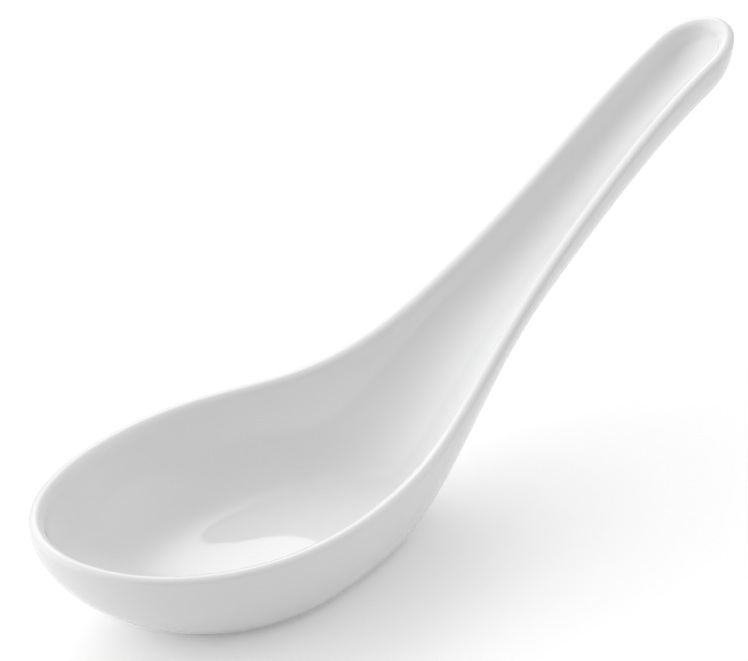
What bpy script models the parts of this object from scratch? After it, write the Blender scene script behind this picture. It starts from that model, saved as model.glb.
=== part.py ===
"""A porcelain sauce spoon: one pressed body that stands on a bare flat foot, and the glaze over the rest.

Metres, +Z up. The origin lies on the table, in the foot, under the bowl's widest line.
+X points from the bowl along the handle, and the plane y = 0 cuts the spoon into two mirrored halves.
"""

import math

import bmesh
import bpy

# Plan of the lip's crest, seen from above, measured from the bowl's widest line at x = 0
BOWL_WIDTH = 0.0422
BOWL_FRONT = 0.0317
NECK_FADE = 0.0388
HANDLE_WIDTH = 0.0111
HANDLE_REACH = 0.1013
HANDLE_END_ROUND = 0.0068

# Height of the lip's crest: level round the bowl, up along the handle, easing over the last stretch
RIM_HEIGHT = 0.01815
TIP_LIFT = 0.0021
RISE_START = 0.0152
RISE_LENGTH = 0.0330
HANDLE_ANGLE_DEG = 33.3
EASE_LENGTH = 0.0289
END_ANGLE_DEG = 21.1

# Underside: a round belly that would dip below the table, cut flat there for the foot, then the handle
FOOT_CUT = 0.00595
BELLY_MIDDLE = 0.0113
SPINE_EASE = 0.0400
LIFT_START = 0.0185
LIFT_LENGTH = 0.0397
NECK_DEPTH = 0.0102
END_DEPTH = 0.0078
END_WALL_RUN = 0.0030
BELLY_FULLNESS = 1.71
NECK_FULLNESS = 1.70
END_FULLNESS = 2.11

# Lip: a tight quarter ellipse on the outside of its crest and a wider one on the inside
LIP_OUTER_WIDTH = 0.00065
LIP_OUTER_DROP = 0.00045
LIP_INNER_WIDTH = 0.00115
LIP_INNER_DROP = 0.00175

# Clay between keel and inside, before the foot is cut, the bowl's floor, which rounds into the walls,
# and the run of the scoop at the trough's end
BOWL_WALL = 0.0045
NECK_WALL = 0.0028
END_WALL = 0.0034
FLOOR_THICKNESS = 0.0033
FLOOR_ROUND = 0.0032
TROUGH_END_RUN = 0.0080

# Glaze: a glass skin over everything but the foot, stopped a little above the table
GLAZE_THICKNESS = 0.00025
GLAZE_CLEARANCE = 0.0001
GLAZE_STOP = 0.0008

# Colours and roughness of the two finishes
CLAY_COLOUR = (0.80, 0.79, 0.76)
CLAY_ROUGHNESS = 0.75
GLAZE_COLOUR = (0.86, 0.86, 0.85)
GLAZE_ROUGHNESS = 0.08

# Facets along the plan (front, side, handle end) and round a section (each wall, each half of the lip)
FRONT_STEPS = 12
SIDE_STEPS = 25
END_STEPS = 6
WALL_STEPS = 8
LIP_STEPS = 4

# Points closer than this are one, and slopes are measured over twice this step
MERGE_DISTANCE = 0.000001
SLOPE_STEP = 0.0001


def eased_share(x, start, length):
    """Share from 0 to 1 that eases in and out over a stretch of x, with no jump in curvature."""
    t = min(max((x - start) / length, 0.0), 1.0)
    return t ** 3 * (10 - 15 * t + 6 * t * t)


def eased_rise(x, start, length, slope):
    """Height of a line that turns smoothly from level to a slope over a stretch of x."""
    t = min(max((x - start) / length, 0.0), 1.0)
    beyond = max(x - start - length, 0.0)
    return slope * (length * (t ** 3 - t ** 4 / 2) + beyond)


def climb(x):
    """How far the spoon's line has climbed at x, above its level stretch round the bowl."""
    handle_slope = math.tan(math.radians(HANDLE_ANGLE_DEG))
    end_slope = math.tan(math.radians(END_ANGLE_DEG))
    rise = eased_rise(x, RISE_START, RISE_LENGTH, handle_slope)
    ease_start = HANDLE_REACH - EASE_LENGTH
    return rise - eased_rise(x, ease_start, EASE_LENGTH, handle_slope - end_slope)


def crest_height(x):
    """Height of the top of the lip."""
    lift = TIP_LIFT * (x / BOWL_FRONT) ** 2 if x < 0 else 0.0
    return RIM_HEIGHT + climb(x) + lift


def eased_between(x, at_bowl, at_handle):
    """A value that changes from the bowl's to the handle's along the neck."""
    return at_bowl + (at_handle - at_bowl) * eased_share(x, LIFT_START, LIFT_LENGTH)


def on_handle(x, at_neck, at_end):
    """A value that changes evenly from the neck to the handle's end."""
    neck = LIFT_START + LIFT_LENGTH
    return at_neck + (at_end - at_neck) * (x - neck) / (HANDLE_REACH - neck)


def keel_height(x):
    """Height of the underside's middle line, before the foot is cut."""
    return climb(x) + eased_between(x, -FOOT_CUT, RIM_HEIGHT - on_handle(x, NECK_DEPTH, END_DEPTH))


def floor_height(x):
    """Height of the inside's middle line, before the floor is laid: the clay stands on the keel."""
    return keel_height(x) + eased_between(x, BOWL_WALL, on_handle(x, NECK_WALL, END_WALL))


def slope_at(x, height):
    """Slope of one of the two middle lines at x."""
    return (height(x + SLOPE_STEP) - height(x - SLOPE_STEP)) / (2 * SLOPE_STEP)


def spine_place(x, end_run):
    """Where on the middle line a section ends. Sections fan out round the belly and the handle's end."""
    along_handle = eased_rise(x, BELLY_MIDDLE - SPINE_EASE / 2, SPINE_EASE, 1.0)
    held_back = eased_rise(x, HANDLE_REACH - 2 * end_run, 2 * end_run, 1.0)
    return BELLY_MIDDLE + along_handle - held_back


def fullness(x):
    """Roundness of a section: 1 is a straight wall, 2 is an ellipse."""
    return eased_between(x, BELLY_FULLNESS, on_handle(x, NECK_FULLNESS, END_FULLNESS))


def crest_half_width(x):
    """Half the width of the bowl as it fades into the handle in a bell curve."""
    handle_half = HANDLE_WIDTH / 2
    return handle_half + (BOWL_WIDTH / 2 - handle_half) * math.exp(-(x / NECK_FADE) ** 2)


def crest_line():
    """Half the lip's crest seen from above: an ellipse round the front, the fading side, a rounded end."""
    points = []
    for step in range(FRONT_STEPS):
        angle = math.pi / 2 * step / FRONT_STEPS
        points.append((-BOWL_FRONT * math.cos(angle), BOWL_WIDTH / 2 * math.sin(angle)))
    side_length = HANDLE_REACH - HANDLE_END_ROUND
    for step in range(SIDE_STEPS):
        x = side_length * step / SIDE_STEPS
        points.append((x, crest_half_width(x)))
    for step in range(END_STEPS):
        angle = math.pi / 2 * step / END_STEPS
        x = side_length + HANDLE_END_ROUND * math.sin(angle)
        points.append((x, crest_half_width(x) * math.cos(angle)))
    points.append((HANDLE_REACH, 0.0))
    return points


def outward(line, index):
    """Unit vector in plan that points out of the spoon at one point of its crest."""
    if index == 0:
        return -1.0, 0.0
    if index == len(line) - 1:
        return 1.0, 0.0
    before, after = line[index - 1], line[index + 1]
    along_x, along_y = after[0] - before[0], after[1] - before[1]
    length = math.hypot(along_x, along_y)
    return -along_y / length, along_x / length


def wall_curve(top, bottom, roundness, slope):
    """Points of a wall from below its top edge to its lowest point: a superellipse on a sloping base."""
    power = 2 / roundness
    rise = top[2] - bottom[2] - slope * (top[0] - bottom[0])
    points = []
    for step in range(1, WALL_STEPS):
        angle = math.pi / 2 * step / WALL_STEPS
        across = math.cos(angle) ** power
        up = 1 - math.sin(angle) ** power
        x = bottom[0] + (top[0] - bottom[0]) * across
        y = bottom[1] + (top[1] - bottom[1]) * across
        points.append((x, y, bottom[2] + slope * (x - bottom[0]) + rise * up))
    points.append(bottom)
    return points


def raised_to_floor(point):
    """A point of the inside, lifted where it would lie under the bowl's floor."""
    above = point[2] - FLOOR_THICKNESS
    lifted = FLOOR_THICKNESS + (above + math.hypot(above, FLOOR_ROUND)) / 2
    return point[0], point[1], lifted


def lip_curve(crest, index):
    """Points over the lip, from its outer to its inner edge."""
    x, y = crest[index]
    out_x, out_y = outward(crest, index)
    points = []
    for step in range(2 * LIP_STEPS + 1):
        angle = math.pi / 2 * step / LIP_STEPS
        outer = step < LIP_STEPS
        reach = (LIP_OUTER_WIDTH if outer else LIP_INNER_WIDTH) * math.cos(angle)
        drop = (LIP_OUTER_DROP if outer else LIP_INNER_DROP) * (1 - math.sin(angle))
        points.append((x + out_x * reach, y + out_y * reach, crest_height(x) - drop))
    return points


def section(crest, index):
    """One half section: up the outside from the keel, over the lip and down the inside to the floor."""
    lip = lip_curve(crest, index)
    keel_x = spine_place(crest[index][0], END_WALL_RUN)
    floor_x = spine_place(crest[index][0], TROUGH_END_RUN)
    keel = (keel_x, 0.0, keel_height(keel_x))
    floor = (floor_x, 0.0, floor_height(floor_x))
    outside = wall_curve(lip[0], keel, fullness(keel_x), slope_at(keel_x, keel_height))
    inside = wall_curve(lip[-1], floor, fullness(floor_x), slope_at(floor_x, floor_height))
    return outside[::-1] + lip + [raised_to_floor(point) for point in inside]


def half_skin():
    """Half of the body's surface, open at the plane y = 0: a loft through all the sections."""
    crest = crest_line()
    skin = bmesh.new()
    rows = []
    for index in range(len(crest)):
        rows.append([skin.verts.new(point) for point in section(crest, index)])
    for row, following in zip(rows, rows[1:]):
        for column in range(len(row) - 1):
            skin.faces.new((row[column], row[column + 1], following[column + 1], following[column]))
    bmesh.ops.remove_doubles(skin, verts=skin.verts[:], dist=MERGE_DISTANCE)
    return skin


def cut_below(skin, height):
    """Take away everything lower than a level plane and give back the edges of the cut."""
    cut = bmesh.ops.bisect_plane(
        skin,
        geom=skin.verts[:] + skin.edges[:] + skin.faces[:],
        dist=MERGE_DISTANCE,
        plane_co=(0.0, 0.0, height),
        plane_no=(0.0, 0.0, 1.0),
        clear_inner=True,
    )
    return [item for item in cut["geom_cut"] if isinstance(item, bmesh.types.BMEdge)]


def add_part(name, skin, material, collection):
    """Make a mirrored object from half a skin."""
    mesh = bpy.data.meshes.new(name)
    skin.to_mesh(mesh)
    skin.free()
    mesh.shade_smooth()
    mesh.materials.append(material)
    part = bpy.data.objects.new(name, mesh)
    collection.objects.link(part)
    mirror = part.modifiers.new("both sides", "MIRROR")
    mirror.use_axis = (False, True, False)
    mirror.merge_threshold = MERGE_DISTANCE
    return part


def finish(name, colour, roughness):
    """A plain non-metal finish."""
    material = bpy.data.materials.new(name)
    material.use_nodes = True
    shader = material.node_tree.nodes["Principled BSDF"]
    shader.inputs["Base Color"].default_value = (*colour, 1.0)
    shader.inputs["Roughness"].default_value = roughness
    shader.inputs["Metallic"].default_value = 0.0
    return material


def make_body(collection):
    """The fired clay: bowl, handle and foot in one pressing, with the belly ground flat for the foot."""
    skin = half_skin()
    rim_of_foot = cut_below(skin, 0.0)
    ends = {vert for edge in rim_of_foot for vert in edge.verts if abs(vert.co.y) < MERGE_DISTANCE}
    across = skin.edges.new(tuple(ends))
    bmesh.ops.edgeloop_fill(skin, edges=rim_of_foot + [across])
    bmesh.ops.recalc_face_normals(skin, faces=skin.faces[:])
    clay = finish("fired porcelain", CLAY_COLOUR, CLAY_ROUGHNESS)
    add_part("porcelain_body", skin, clay, collection)


def make_glaze(collection):
    """The glaze: the body's own surface from just above the table, with a thickness outside the body."""
    skin = half_skin()
    cut_below(skin, GLAZE_STOP)
    glass = finish("white glaze", GLAZE_COLOUR, GLAZE_ROUGHNESS)
    coat = add_part("glaze_coat", skin, glass, collection)
    thickness = coat.modifiers.new("glaze thickness", "SOLIDIFY")
    thickness.thickness = GLAZE_THICKNESS
    thickness.offset = 1 + 2 * GLAZE_CLEARANCE / GLAZE_THICKNESS
    thickness.use_even_offset = True


def main():
    for leftover in list(bpy.data.objects):
        bpy.data.objects.remove(leftover, do_unlink=True)
    collection = bpy.data.collections.new("sauce spoon")
    bpy.context.scene.collection.children.link(collection)
    make_body(collection)
    make_glaze(collection)


main()
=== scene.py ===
# %% [markdown]
# # A glazed porcelain sauce spoon
#
# The spoon is one piece of fired clay under one coat of white glass. It has no seams, screws or prints,
# so everything that makes it look real is in three things: a clean flowing shape, a glaze that reflects
# like wet glass, and soft light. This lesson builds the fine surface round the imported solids, which give
# the true size and never move.

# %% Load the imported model
import math

import bmesh
import bpy
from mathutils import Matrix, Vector


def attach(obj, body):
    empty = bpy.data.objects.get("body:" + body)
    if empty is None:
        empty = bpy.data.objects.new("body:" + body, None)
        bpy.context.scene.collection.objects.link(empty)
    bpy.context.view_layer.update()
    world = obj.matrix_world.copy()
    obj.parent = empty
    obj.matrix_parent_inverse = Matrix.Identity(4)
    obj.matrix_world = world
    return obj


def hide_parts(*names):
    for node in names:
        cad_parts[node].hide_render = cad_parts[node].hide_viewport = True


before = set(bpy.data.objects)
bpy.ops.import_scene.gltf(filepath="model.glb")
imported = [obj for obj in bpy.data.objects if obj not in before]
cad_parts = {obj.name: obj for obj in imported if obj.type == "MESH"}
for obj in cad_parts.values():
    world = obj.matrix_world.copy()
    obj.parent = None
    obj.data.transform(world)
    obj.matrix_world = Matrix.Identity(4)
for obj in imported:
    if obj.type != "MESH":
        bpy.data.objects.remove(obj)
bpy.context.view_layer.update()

print("packed nodes:", sorted(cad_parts))

# %% [markdown]
# ## The camera
#
# A camera can be nudged by eye until the picture fits, or worked out from the object. Here it is worked
# out: both halves of a spoon are mirror images, so the rim's outline in a picture fixes the direction of
# view. The lens is long, as product photographers use it, so the handle hardly shrinks with distance.

# %% Place the camera
PHOTO_WIDTH_PIXELS = 748
FOCAL_LENGTH_PIXELS = 3000
SENSOR_WIDTH_MM = 36
CAMERA_AZIMUTH_DEG = -42
CAMERA_ELEVATION_DEG = 31
CAMERA_PLACE = (-0.2278, -0.2842, 0.2622)


def direction(azimuth_deg, elevation_deg):
    """Unit vector towards a point in the sky: azimuth 0 is -Y, 90 is +X."""
    azimuth = math.radians(azimuth_deg)
    elevation = math.radians(elevation_deg)
    level = math.cos(elevation)
    return Vector((math.sin(azimuth) * level, -math.cos(azimuth) * level, math.sin(elevation)))


camera_data = bpy.data.cameras.new("camera")
camera_data.sensor_width = SENSOR_WIDTH_MM
camera_data.lens = FOCAL_LENGTH_PIXELS * SENSOR_WIDTH_MM / PHOTO_WIDTH_PIXELS
camera = bpy.data.objects.new("camera", camera_data)
camera.location = CAMERA_PLACE
towards_camera = direction(CAMERA_AZIMUTH_DEG, CAMERA_ELEVATION_DEG)
camera.rotation_euler = (-towards_camera).to_track_quat("-Z", "Y").to_euler()
bpy.context.scene.collection.objects.link(camera)
bpy.context.scene.camera = camera
print("lens in mm:", round(camera_data.lens, 1))

# %% [markdown]
# ## The crest of the lip
#
# The line along the top of the lip carries the whole design. Seen from above it is half an ellipse round
# the front of the bowl, a bell curve that narrows into the handle, and a small half ellipse at the end.
# Seen from the side it lifts a little at the tip, lies level round the bowl, climbs, and eases off towards
# the end. It could be drawn as a Bezier curve with handles, but formulas keep the curvature smooth, and a
# glossy surface shows every kink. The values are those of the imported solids, in metres.

# %% Plan of the crest
BOWL_WIDTH = 0.0422
BOWL_FRONT = 0.0317
NECK_FADE = 0.0388
HANDLE_WIDTH = 0.0111
HANDLE_REACH = 0.1013
HANDLE_END_ROUND = 0.0068
FRONT_STEPS = 48
SIDE_STEPS = 100
END_STEPS = 28


def crest_half_width(x):
    """Half the width of the bowl as it fades into the handle in a bell curve."""
    handle_half = HANDLE_WIDTH / 2
    return handle_half + (BOWL_WIDTH / 2 - handle_half) * math.exp(-(x / NECK_FADE) ** 2)


def crest_line():
    """Half the lip's crest seen from above, from the bowl's tip to the handle's end."""
    points = []
    for step in range(FRONT_STEPS):
        angle = math.pi / 2 * step / FRONT_STEPS
        points.append((-BOWL_FRONT * math.cos(angle), BOWL_WIDTH / 2 * math.sin(angle)))
    side_length = HANDLE_REACH - HANDLE_END_ROUND
    for step in range(SIDE_STEPS):
        x = side_length * step / SIDE_STEPS
        points.append((x, crest_half_width(x)))
    for step in range(END_STEPS):
        angle = math.pi / 2 * step / END_STEPS
        x = side_length + HANDLE_END_ROUND * math.sin(angle)
        points.append((x, crest_half_width(x) * math.cos(angle)))
    points.append((HANDLE_REACH, 0.0))
    return points


crest = crest_line()
print("crest points on one side:", len(crest))

# %% Height of the crest
RIM_HEIGHT = 0.01815
TIP_LIFT = 0.0021
RISE_START = 0.0152
RISE_LENGTH = 0.0330
HANDLE_ANGLE_DEG = 33.3
EASE_LENGTH = 0.0289
END_ANGLE_DEG = 21.1


def eased_rise(x, start, length, slope):
    """Height of a line that turns smoothly from level to a slope over a stretch of x."""
    t = min(max((x - start) / length, 0.0), 1.0)
    beyond = max(x - start - length, 0.0)
    return slope * (length * (t ** 3 - t ** 4 / 2) + beyond)


def climb(x):
    """How far the spoon's line has climbed at x, above its level stretch round the bowl."""
    handle_slope = math.tan(math.radians(HANDLE_ANGLE_DEG))
    end_slope = math.tan(math.radians(END_ANGLE_DEG))
    rise = eased_rise(x, RISE_START, RISE_LENGTH, handle_slope)
    return rise - eased_rise(x, HANDLE_REACH - EASE_LENGTH, EASE_LENGTH, handle_slope - end_slope)


def crest_height(x):
    """Height of the top of the lip."""
    lift = TIP_LIFT * (x / BOWL_FRONT) ** 2 if x < 0 else 0.0
    return RIM_HEIGHT + climb(x) + lift


print("crest height at the handle's end in mm:", round(1000 * crest_height(HANDLE_REACH), 1))

# %% [markdown]
# ## The belly and the keel
#
# Under the crest hangs a round belly. Its lowest line, the keel, would dip below the table, and the clay
# is cut flat there: that makes the oval foot. Behind the belly the keel sweeps up to the handle, which gets
# shallower towards its end. The spoon is built from sections that run from the keel to the crest. They
# could all stand square, like the frames of a boat, but they would be crowded at the bowl's tip. So they
# fan out round the belly and round the handle's end and stand square between the two. The change is eased,
# so that no crease shows in the reflections.

# %% Keel
FOOT_CUT = 0.00595
LIFT_START = 0.0185
LIFT_LENGTH = 0.0397
NECK_DEPTH = 0.0102
END_DEPTH = 0.0078


def eased_share(x, start, length):
    """Share from 0 to 1 that eases in and out over a stretch of x, with no jump in curvature."""
    t = min(max((x - start) / length, 0.0), 1.0)
    return t ** 3 * (10 - 15 * t + 6 * t * t)


def eased_between(x, at_bowl, at_handle):
    """A value that changes from the bowl's to the handle's along the neck."""
    return at_bowl + (at_handle - at_bowl) * eased_share(x, LIFT_START, LIFT_LENGTH)


def on_handle(x, at_neck, at_end):
    """A value that changes evenly from the neck to the handle's end."""
    neck = LIFT_START + LIFT_LENGTH
    return at_neck + (at_end - at_neck) * (x - neck) / (HANDLE_REACH - neck)


def keel_height(x):
    """Height of the underside's middle line, before the foot is cut."""
    return climb(x) + eased_between(x, -FOOT_CUT, RIM_HEIGHT - on_handle(x, NECK_DEPTH, END_DEPTH))


print("keel at the neck in mm:", round(1000 * keel_height(LIFT_START + LIFT_LENGTH), 1))

# %% Places of the sections
BELLY_MIDDLE = 0.0113
SPINE_EASE = 0.0400
END_WALL_RUN = 0.0030
TROUGH_END_RUN = 0.0080


def spine_place(x, end_run):
    """Where on the middle line a section ends. Sections fan out round the belly and the handle's end."""
    along_handle = eased_rise(x, BELLY_MIDDLE - SPINE_EASE / 2, SPINE_EASE, 1.0)
    held_back = eased_rise(x, HANDLE_REACH - 2 * end_run, 2 * end_run, 1.0)
    return BELLY_MIDDLE + along_handle - held_back


for surface, end_run in (("outside", END_WALL_RUN), ("inside", TROUGH_END_RUN)):
    fan = HANDLE_REACH - spine_place(HANDLE_REACH, end_run)
    print("reach of the end's fan in mm,", surface, round(1000 * fan, 1))

# %% [markdown]
# ## The walls
#
# A wall could be an arc or a drawn curve. Here it is a superellipse between the lip and a middle line,
# because one number then sets how full it is: a little leaner than a true ellipse round the bowl and the
# neck, and a little fuller at the handle's end. At its lowest point each wall follows the slope of its
# middle line, so that the trough and the underside run out at the handle's end without a kink.

# %% One wall
BELLY_FULLNESS = 1.71
NECK_FULLNESS = 1.70
END_FULLNESS = 2.11
WALL_STEPS = 36


def fullness(x):
    """Roundness of a section: 1 is a straight wall, 2 is an ellipse."""
    return eased_between(x, BELLY_FULLNESS, on_handle(x, NECK_FULLNESS, END_FULLNESS))


def wall_curve(top, bottom, roundness, slope):
    """Points of a wall from below its top edge to its lowest point: a superellipse on a sloping base."""
    power = 2 / roundness
    rise = top.z - bottom.z - slope * (top.x - bottom.x)
    points = []
    for step in range(1, WALL_STEPS):
        angle = math.pi / 2 * step / WALL_STEPS
        point = bottom.lerp(top, math.cos(angle) ** power)
        up = 1 - math.sin(angle) ** power
        point.z = bottom.z + slope * (point.x - bottom.x) + rise * up
        points.append(point)
    points.append(bottom)
    return points


print("points down each wall:", WALL_STEPS)

# %% [markdown]
# ## A section from keel to floor
#
# A section starts at the keel, runs up the outside, turns over the lip and goes down the inside. The lip
# could be a sharp rim with a bevel, but its two sides differ. So it is two quarter ellipses that meet at the
# crest, tight on the outside and wider on the inside. The inside follows the outside at the thickness of
# the clay, but it never gets lower than the bowl's floor: a smooth maximum lays the floor level and rounds
# the corner where it meets the walls, as slip and glaze do on the real spoon. Along the handle the trough
# gets shallower, and at its end the inside fans out over a longer stretch than the outside, so the trough
# runs up to the lip in a scoop. Last, a few rounds of averaging soften the turn from the lip into the inner
# wall.

# %% Lip
LIP_OUTER_WIDTH = 0.00065
LIP_OUTER_DROP = 0.00045
LIP_INNER_WIDTH = 0.00115
LIP_INNER_DROP = 0.00175
LIP_STEPS = 16


def outward(line, index):
    """Unit vector in plan that points out of the spoon at one point of its crest."""
    if index == 0:
        return Vector((-1.0, 0.0, 0.0))
    if index == len(line) - 1:
        return Vector((1.0, 0.0, 0.0))
    before, after = line[index - 1], line[index + 1]
    return Vector((before[1] - after[1], after[0] - before[0], 0.0)).normalized()


def lip_curve(line, index):
    """Over the lip from its outer to its inner edge, in two quarter ellipses."""
    x, y = line[index]
    crest_point = Vector((x, y, crest_height(x)))
    points = []
    for step in range(2 * LIP_STEPS + 1):
        angle = math.pi / 2 * step / LIP_STEPS
        outer = step < LIP_STEPS
        reach = (LIP_OUTER_WIDTH if outer else LIP_INNER_WIDTH) * math.cos(angle)
        drop = (LIP_OUTER_DROP if outer else LIP_INNER_DROP) * (1 - math.sin(angle))
        points.append(crest_point + outward(line, index) * reach - Vector((0.0, 0.0, drop)))
    return points


print("width of the bare lip in mm:", round(1000 * (LIP_OUTER_WIDTH + LIP_INNER_WIDTH), 2))

# %% Floor
BOWL_WALL = 0.0045
NECK_WALL = 0.0028
END_WALL = 0.0034
FLOOR_THICKNESS = 0.0033
FLOOR_ROUND = 0.0032


def floor_height(x):
    """Height of the inside's middle line, before the floor is laid: the clay stands on the keel."""
    return keel_height(x) + eased_between(x, BOWL_WALL, on_handle(x, NECK_WALL, END_WALL))


def raised_to_floor(point):
    """A point of the inside, lifted where it would lie under the bowl's floor."""
    above = point.z - FLOOR_THICKNESS
    return Vector((point.x, point.y, FLOOR_THICKNESS + (above + math.hypot(above, FLOOR_ROUND)) / 2))


lowest_inside = raised_to_floor(Vector((BELLY_MIDDLE, 0.0, floor_height(BELLY_MIDDLE))))
print("bowl's floor above the table in mm:", round(1000 * lowest_inside.z, 2))

# %% One section
SLOPE_STEP = 0.0001
SOFTEN_ROUNDS = 12
SOFTEN_REACH = 8


def slope_at(x, height):
    """Slope of one of the two middle lines at x."""
    return (height(x + SLOPE_STEP) - height(x - SLOPE_STEP)) / (2 * SLOPE_STEP)


def softened(points, turn):
    """Round off the turn from the lip into the wall: points near it move towards their neighbours."""
    for _ in range(SOFTEN_ROUNDS):
        moved = list(points)
        for place in range(turn - SOFTEN_REACH, turn + SOFTEN_REACH + 1):
            moved[place] = (points[place - 1] + 2 * points[place] + points[place + 1]) / 4
        points = moved
    return points


def section(line, index):
    """One half section: up the outside from the keel, over the lip and down the inside to the floor."""
    keel_x = spine_place(line[index][0], END_WALL_RUN)
    floor_x = spine_place(line[index][0], TROUGH_END_RUN)
    keel = Vector((keel_x, 0.0, keel_height(keel_x)))
    floor = Vector((floor_x, 0.0, floor_height(floor_x)))
    lip = lip_curve(line, index)
    outside = wall_curve(lip[0], keel, fullness(keel_x), slope_at(keel_x, keel_height))
    inside = wall_curve(lip[-1], floor, fullness(floor_x), slope_at(floor_x, floor_height))
    points = outside[::-1] + lip + [raised_to_floor(point) for point in inside]
    return softened(points, len(outside) + len(lip) - 1)


print("points in a half section:", len(section(crest, 0)))

# %% [markdown]
# ## The skin
#
# The sections are joined row by row into half a skin, and later a Mirror modifier adds the other half.
# Blender can bridge such rows by itself, but a loop keeps each point in a known place. So each point can
# also remember two shares that the glaze needs later: how near it is to the lip, where glaze runs thin, and
# how near to the floor, where it pools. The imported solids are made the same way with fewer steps. Here the
# steps are small enough that the lip's highlight and the mirror image of the rim in the floor stay clean
# lines.

# %% Thin and pooled glaze
THIN_GLAZE_DEPTH = 0.0030
POOL_DEPTH = 0.0035
LIP_MIDDLE = WALL_STEPS + LIP_STEPS


def glaze_shares(points):
    """For each point of a section, its nearness to the lip and to the inside's lowest point."""
    crest_z = max(point.z for point in points)
    floor_z = points[-1].z
    shares = []
    for place, point in enumerate(points):
        thin = max(0.0, 1 - (crest_z - point.z) / THIN_GLAZE_DEPTH)
        pooled = max(0.0, 1 - (point.z - floor_z) / POOL_DEPTH) if place > LIP_MIDDLE else 0.0
        shares.append((thin, pooled))
    return shares


print("thin and pooled shares at the tip's crest:", glaze_shares(section(crest, 0))[LIP_MIDDLE])

# %% Join the sections
MERGE_DISTANCE = 0.000001


def half_skin():
    """Half of the body's surface, open at the plane y = 0: a loft through all the sections."""
    skin = bmesh.new()
    thin_layer = skin.verts.layers.float.new("glaze_thin")
    pool_layer = skin.verts.layers.float.new("glaze_pool")
    rows = []
    for index in range(len(crest)):
        points = section(crest, index)
        row = []
        for point, (thin, pooled) in zip(points, glaze_shares(points)):
            vert = skin.verts.new(point)
            vert[thin_layer] = thin
            vert[pool_layer] = pooled
            row.append(vert)
        rows.append(row)
    for row, following in zip(rows, rows[1:]):
        for column in range(len(row) - 1):
            skin.faces.new((row[column], row[column + 1], following[column + 1], following[column]))
    bmesh.ops.remove_doubles(skin, verts=skin.verts[:], dist=MERGE_DISTANCE)
    return skin


body_skin = half_skin()
print("points in half a skin:", len(body_skin.verts))

# %% [markdown]
# ## The fired body
#
# The clay shows only on the foot, which is wiped clean before firing so that the spoon doesn't stick to
# the kiln shelf. It is the skin cut off at the table and closed by one flat face. A Boolean could cut it
# too, but a plane through a mesh leaves one clean edge. A narrow bevel softens the foot's edge, as a wet
# sponge does.

# %% Cut the foot
TABLE_HEIGHT = 0.0


def cut_below(skin, height):
    """Take away everything lower than a level plane and give back the edges of the cut."""
    cut = bmesh.ops.bisect_plane(
        skin,
        geom=skin.verts[:] + skin.edges[:] + skin.faces[:],
        dist=MERGE_DISTANCE,
        plane_co=(0.0, 0.0, height),
        plane_no=(0.0, 0.0, 1.0),
        clear_inner=True,
    )
    return [item for item in cut["geom_cut"] if isinstance(item, bmesh.types.BMEdge)]


def ends_foot(vert):
    """Whether a point lies on the table and in the plane that halves the spoon."""
    return abs(vert.co.y) < MERGE_DISTANCE and abs(vert.co.z - TABLE_HEIGHT) < MERGE_DISTANCE


foot_edge = cut_below(body_skin, TABLE_HEIGHT)
middle_edge = body_skin.edges.new([vert for vert in body_skin.verts if ends_foot(vert)])
print("length of the foot in mm:", round(1000 * middle_edge.calc_length(), 1))
bmesh.ops.edgeloop_fill(body_skin, edges=foot_edge + [middle_edge])
bmesh.ops.recalc_face_normals(body_skin, faces=body_skin.faces[:])

# %% Fired body
FOOT_EDGE_ROUND = 0.00025
FOOT_EDGE_ANGLE_DEG = 20
BEVEL_STEPS = 3


def add_piece(name, skin):
    """Make a smooth mirrored object from half a skin."""
    mesh = bpy.data.meshes.new(name)
    skin.to_mesh(mesh)
    skin.free()
    mesh.shade_smooth()
    piece = bpy.data.objects.new(name, mesh)
    bpy.context.scene.collection.objects.link(piece)
    mirror = piece.modifiers.new("both sides", "MIRROR")
    mirror.use_axis = (False, True, False)
    mirror.merge_threshold = MERGE_DISTANCE
    print(name, "has", len(mesh.polygons), "faces on one side")
    return piece


def round_edges(piece, name, width, angle_deg):
    """Round off the edges that turn by more than an angle."""
    bevel = piece.modifiers.new(name, "BEVEL")
    bevel.width = width
    bevel.segments = BEVEL_STEPS
    bevel.limit_method = "ANGLE"
    bevel.angle_limit = math.radians(angle_deg)


fired_body = add_piece("fired_body", body_skin)
round_edges(fired_body, "sponged foot edge", FOOT_EDGE_ROUND, FOOT_EDGE_ANGLE_DEG)
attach(fired_body, "root")
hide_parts("porcelain_body")

# %% [markdown]
# ## The glaze
#
# The glaze is a skin of glass about a quarter of a millimetre thick. It could be only a glossy material on
# the clay, but then the line where it stops above the foot would be painted on. As a real layer it ends in
# a small rounded bead. A Solidify modifier gives the thickness, on the outside of the clay.

# %% Glaze coat
GLAZE_THICKNESS = 0.00025
GLAZE_CLEARANCE = 0.0001
GLAZE_STOP = 0.0008
GLAZE_BEAD_ROUND = 0.0001
GLAZE_BEAD_ANGLE_DEG = 50

glaze_skin = half_skin()
cut_below(glaze_skin, GLAZE_STOP)
glaze_coat = add_piece("white_glaze", glaze_skin)
glass_layer = glaze_coat.modifiers.new("glass thickness", "SOLIDIFY")
glass_layer.thickness = GLAZE_THICKNESS
glass_layer.offset = 1 + 2 * GLAZE_CLEARANCE / GLAZE_THICKNESS
glass_layer.use_even_offset = True
round_edges(glaze_coat, "rounded bead at the foot", GLAZE_BEAD_ROUND, GLAZE_BEAD_ANGLE_DEG)
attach(glaze_coat, "root")
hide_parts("glaze_coat")

# %% [markdown]
# ## Finish of the glaze
#
# White glaze is opaque, a little cooler where it pools and a little warmer where it thins over the lip. One
# even white with one gloss would do from afar, but close by it looks like plastic. Real gloss is high but
# not perfect: the glaze lies in shallow waves of several millimetres, with a much finer orange peel on top,
# and both bend the reflections. Those two sizes of wave are two noise textures that feed one Bump node
# each. The colours differ by a few parts in a hundred only.

# %% Start the white glaze
GLAZE_IOR = 1.5


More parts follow.
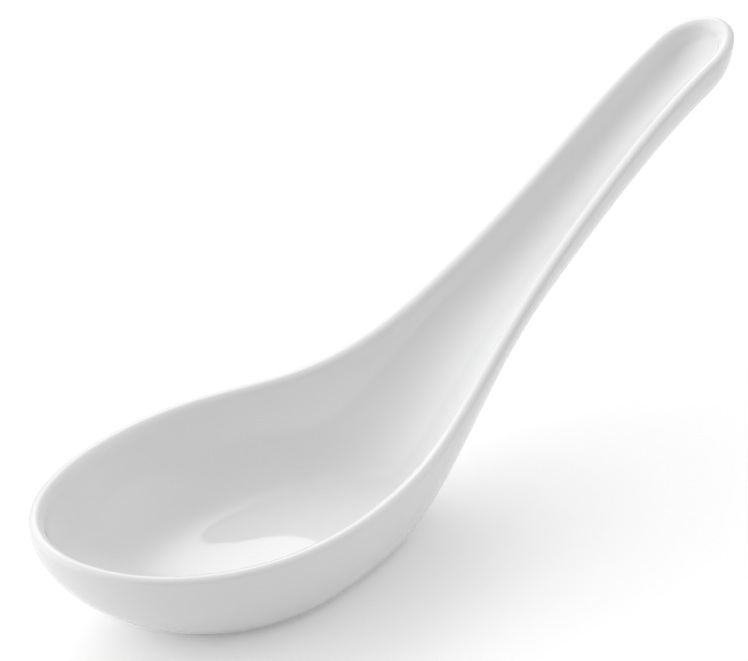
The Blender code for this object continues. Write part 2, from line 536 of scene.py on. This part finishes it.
def new_material(name):
    """A material with its Principled shader, and the nodes and links to add to."""
    material = bpy.data.materials.new(name)
    material.use_nodes = True
    tree = material.node_tree
    return material, tree.nodes, tree.links, tree.nodes["Principled BSDF"]


white_glaze, nodes, links, shader = new_material("white glaze")
shader.inputs["IOR"].default_value = GLAZE_IOR
glaze_coat.data.materials.append(white_glaze)
print("white glaze has an index of refraction of", GLAZE_IOR)

# %% Clouds, pools and thin places
GLAZE_COLOUR = (0.86, 0.86, 0.86)
GLAZE_CLOUD_COLOUR = (0.845, 0.845, 0.845)
THIN_GLAZE_COLOUR = (0.85, 0.849, 0.846)
POOLED_GLAZE_COLOUR = (0.852, 0.854, 0.856)
GLAZE_CLOUD_SIZE = 0.018
SOFT_DETAIL = 2.0


def noise(nodes, links, size, detail=SOFT_DETAIL):
    """A noise texture in the object's own metres, with bumps about as wide as size."""
    place = nodes.new("ShaderNodeTexCoord")
    texture = nodes.new("ShaderNodeTexNoise")
    texture.inputs["Scale"].default_value = 1 / size
    texture.inputs["Detail"].default_value = detail
    links.new(place.outputs["Object"], texture.inputs["Vector"])
    return texture.outputs["Fac"]


def stored_share(nodes, name):
    """One of the shares that the skin's points remember."""
    attribute = nodes.new("ShaderNodeAttribute")
    attribute.attribute_name = name
    return attribute.outputs["Fac"]


def between(nodes, links, share, first, second):
    """Mix two colours. Each is a colour or a socket that gives one."""
    mix = nodes.new("ShaderNodeMix")
    mix.data_type = "RGBA"
    colour_inputs = [socket for socket in mix.inputs if socket.type == "RGBA"]
    links.new(share, mix.inputs[0])
    for socket, colour in zip(colour_inputs, (first, second)):
        if isinstance(colour, tuple):
            socket.default_value = (*colour, 1.0)
        else:
            links.new(colour, socket)
    return next(socket for socket in mix.outputs if socket.type == "RGBA")


cloud = between(nodes, links, noise(nodes, links, GLAZE_CLOUD_SIZE), GLAZE_COLOUR, GLAZE_CLOUD_COLOUR)
pooled = between(nodes, links, stored_share(nodes, "glaze_pool"), cloud, POOLED_GLAZE_COLOUR)
thinned = between(nodes, links, stored_share(nodes, "glaze_thin"), pooled, THIN_GLAZE_COLOUR)
links.new(thinned, shader.inputs["Base Color"])
print("white glaze has", len(nodes), "nodes with its colours")

# %% Gloss and waves
GLAZE_WAVE_SIZE = 0.009
GLAZE_WAVE_DEPTH = 0.00002
ORANGE_PEEL_SIZE = 0.0009
ORANGE_PEEL_DEPTH = 0.0000006
GLAZE_GLOSS_RANGE = (0.02, 0.05)
GLAZE_GLOSS_DETAIL = 4.0


def mapped(nodes, links, value, low, high):
    """Stretch a share from 0 to 1 to lie between two numbers."""
    scale = nodes.new("ShaderNodeMapRange")
    scale.inputs["To Min"].default_value = low
    scale.inputs["To Max"].default_value = high
    links.new(value, scale.inputs["Value"])
    return scale.outputs["Result"]


def bump(nodes, links, height, depth, under=None):
    """A Bump node whose height runs from 0 to depth in metres, on top of another one."""
    node = nodes.new("ShaderNodeBump")
    node.inputs["Distance"].default_value = depth
    links.new(height, node.inputs["Height"])
    if under is not None:
        links.new(under, node.inputs["Normal"])
    return node.outputs["Normal"]


gloss_pattern = noise(nodes, links, GLAZE_WAVE_SIZE, GLAZE_GLOSS_DETAIL)
links.new(mapped(nodes, links, gloss_pattern, *GLAZE_GLOSS_RANGE), shader.inputs["Roughness"])
waves = bump(nodes, links, noise(nodes, links, GLAZE_WAVE_SIZE), GLAZE_WAVE_DEPTH)
peel = bump(nodes, links, noise(nodes, links, ORANGE_PEEL_SIZE), ORANGE_PEEL_DEPTH, waves)
links.new(peel, shader.inputs["Normal"])
print("white glaze has", len(nodes), "nodes with its gloss and waves")

# %% [markdown]
# ## Finish of the bare clay
#
# Bare fired porcelain is off-white and matt, with a fine grain that the glaze hides elsewhere. It picks up
# grey smudges from tables. A picture of clay could be laid on it, but noise has no seams and no fixed
# scale. A fine noise gives the grain, in colour and in relief, and a broad one the smudges.

# %% Bare clay
CLAY_COLOUR = (0.80, 0.79, 0.76)
CLAY_GRAIN_COLOUR = (0.70, 0.68, 0.64)
CLAY_SMUDGE_COLOUR = (0.62, 0.61, 0.59)
CLAY_GRAIN_SIZE = 0.00035
CLAY_GRAIN_DETAIL = 6.0
CLAY_GRAIN_DEPTH = 0.00004
CLAY_SMUDGE_SIZE = 0.006
CLAY_SMUDGE_DETAIL = 4.0
CLAY_SMUDGE_SHARE = (-0.6, 0.5)
CLAY_ROUGHNESS_RANGE = (0.68, 0.88)

bare_clay, nodes, links, shader = new_material("bare fired clay")
grain = noise(nodes, links, CLAY_GRAIN_SIZE, CLAY_GRAIN_DETAIL)
grained = between(nodes, links, grain, CLAY_COLOUR, CLAY_GRAIN_COLOUR)
smudge_pattern = noise(nodes, links, CLAY_SMUDGE_SIZE, CLAY_SMUDGE_DETAIL)
smudge = mapped(nodes, links, smudge_pattern, *CLAY_SMUDGE_SHARE)
links.new(between(nodes, links, smudge, grained, CLAY_SMUDGE_COLOUR), shader.inputs["Base Color"])
links.new(mapped(nodes, links, grain, *CLAY_ROUGHNESS_RANGE), shader.inputs["Roughness"])
links.new(bump(nodes, links, grain, CLAY_GRAIN_DEPTH), shader.inputs["Normal"])
fired_body.data.materials.append(bare_clay)
print("bare clay has", len(nodes), "nodes")

# %% [markdown]
# ## The table
#
# The spoon stands on a white sweep that is so bright in the picture that only the shadow shows. It could be
# made white with more light, but then the spoon would be washed out. So the floor here is a pale matt plane
# that catches the shadow, and for rays that come from the camera or from a reflection it adds a little
# white of its own. That keeps the light on the spoon at a plain level.

# %% White table
TABLE_SIZE = 6.0
TABLE_DROP = 0.00005

table_shape = bmesh.new()
bmesh.ops.create_grid(table_shape, x_segments=1, y_segments=1, size=TABLE_SIZE / 2)
table_mesh = bpy.data.meshes.new("table")
table_shape.to_mesh(table_mesh)
table_shape.free()
table = bpy.data.objects.new("table", table_mesh)
table.location.z = TABLE_HEIGHT - TABLE_DROP
bpy.context.scene.collection.objects.link(table)
print("table is", TABLE_SIZE, "m wide")

# %% Finish of the table
TABLE_COLOUR = (0.86, 0.86, 0.86)
TABLE_ROUGHNESS = 0.9
TABLE_GLOW = 0.23
WHITE = (1.0, 1.0, 1.0, 1.0)


def maths(nodes, links, operation, first, second):
    """One step of arithmetic on a socket, with a number or another socket."""
    node = nodes.new("ShaderNodeMath")
    node.operation = operation
    links.new(first, node.inputs[0])
    if isinstance(second, (int, float)):
        node.inputs[1].default_value = second
    else:
        links.new(second, node.inputs[1])
    return node.outputs["Value"]


def seen_directly(nodes, links):
    """1 for rays from the camera and from mirror-like or clear surfaces, 0 for all others."""
    path = nodes.new("ShaderNodeLightPath")
    total = path.outputs["Is Camera Ray"]
    for kind in ("Is Glossy Ray", "Is Transmission Ray"):
        total = maths(nodes, links, "MAXIMUM", total, path.outputs[kind])
    return total


white_table, nodes, links, shader = new_material("white table")
shader.inputs["Base Color"].default_value = (*TABLE_COLOUR, 1.0)
shader.inputs["Roughness"].default_value = TABLE_ROUGHNESS
shader.inputs["Specular IOR Level"].default_value = 0.0
shader.inputs["Emission Color"].default_value = WHITE
glow_strength = mapped(nodes, links, seen_directly(nodes, links), 0.0, TABLE_GLOW)
links.new(glow_strength, shader.inputs["Emission Strength"])
table_mesh.materials.append(white_table)
print("white table adds", TABLE_GLOW, "of its own where it is seen")

# %% [markdown]
# ## The light
#
# The shadow in the picture falls to the right and slightly towards the viewer, and no lamp shows up in the
# glaze as a hard shape. So nothing here is a lamp with an edge. The room itself shines: it is a sum of
# glows, each brightest towards one direction and fading smoothly away from it. The main glow stands behind
# the spoon and a little to the left, and it draws the shadow. A smaller one straight behind the spoon is
# what the bowl's floor mirrors over the far rim, as a bright patch. A broad wall of light on the left fills
# the trough, and a weaker one on the right lights the inside of the tip. A faint ceiling and a little even
# light keep the other sides from going dark. Azimuths are those of the camera: 0 is -Y and 90 is +X. The
# Standard view then shows the colours as they are written.

# %% Glowing room
ROOM_LIGHT = 0.10
GLOWS = {
    "main glow behind": {"azimuth": 155, "elevation": 39, "sharpness": 12, "brightness": 2.35},
    "small glow behind": {"azimuth": 138, "elevation": 33, "sharpness": 40, "brightness": 0.8},
    "wall on the left": {"azimuth": -121, "elevation": 29, "sharpness": 3, "brightness": 1.88},
    "wall on the right": {"azimuth": 54, "elevation": 15, "sharpness": 4, "brightness": 1.35},
    "ceiling": {"azimuth": 0, "elevation": 90, "sharpness": 6, "brightness": 0.35},
}

room = bpy.data.worlds.new("glowing room")
room.use_nodes = True
bpy.context.scene.world = room
nodes, links = room.node_tree.nodes, room.node_tree.links
place = nodes.new("ShaderNodeTexCoord")
strength = nodes.new("ShaderNodeValue").outputs["Value"]
strength.default_value = ROOM_LIGHT
for name, glow in GLOWS.items():
    nearness = nodes.new("ShaderNodeVectorMath")
    nearness.operation = "DOT_PRODUCT"
    nearness.inputs[1].default_value = direction(glow["azimuth"], glow["elevation"])
    links.new(place.outputs["Generated"], nearness.inputs[0])
    facing = maths(nodes, links, "MAXIMUM", nearness.outputs["Value"], 0.0)
    focused = maths(nodes, links, "POWER", facing, glow["sharpness"])
    share = maths(nodes, links, "MULTIPLY", focused, glow["brightness"])
    strength = maths(nodes, links, "ADD", strength, share)
    print(name, "has brightness", glow["brightness"])
links.new(strength, nodes["Background"].inputs["Strength"])
nodes["Background"].inputs["Color"].default_value = WHITE
bpy.context.scene.view_settings.view_transform = "Standard"
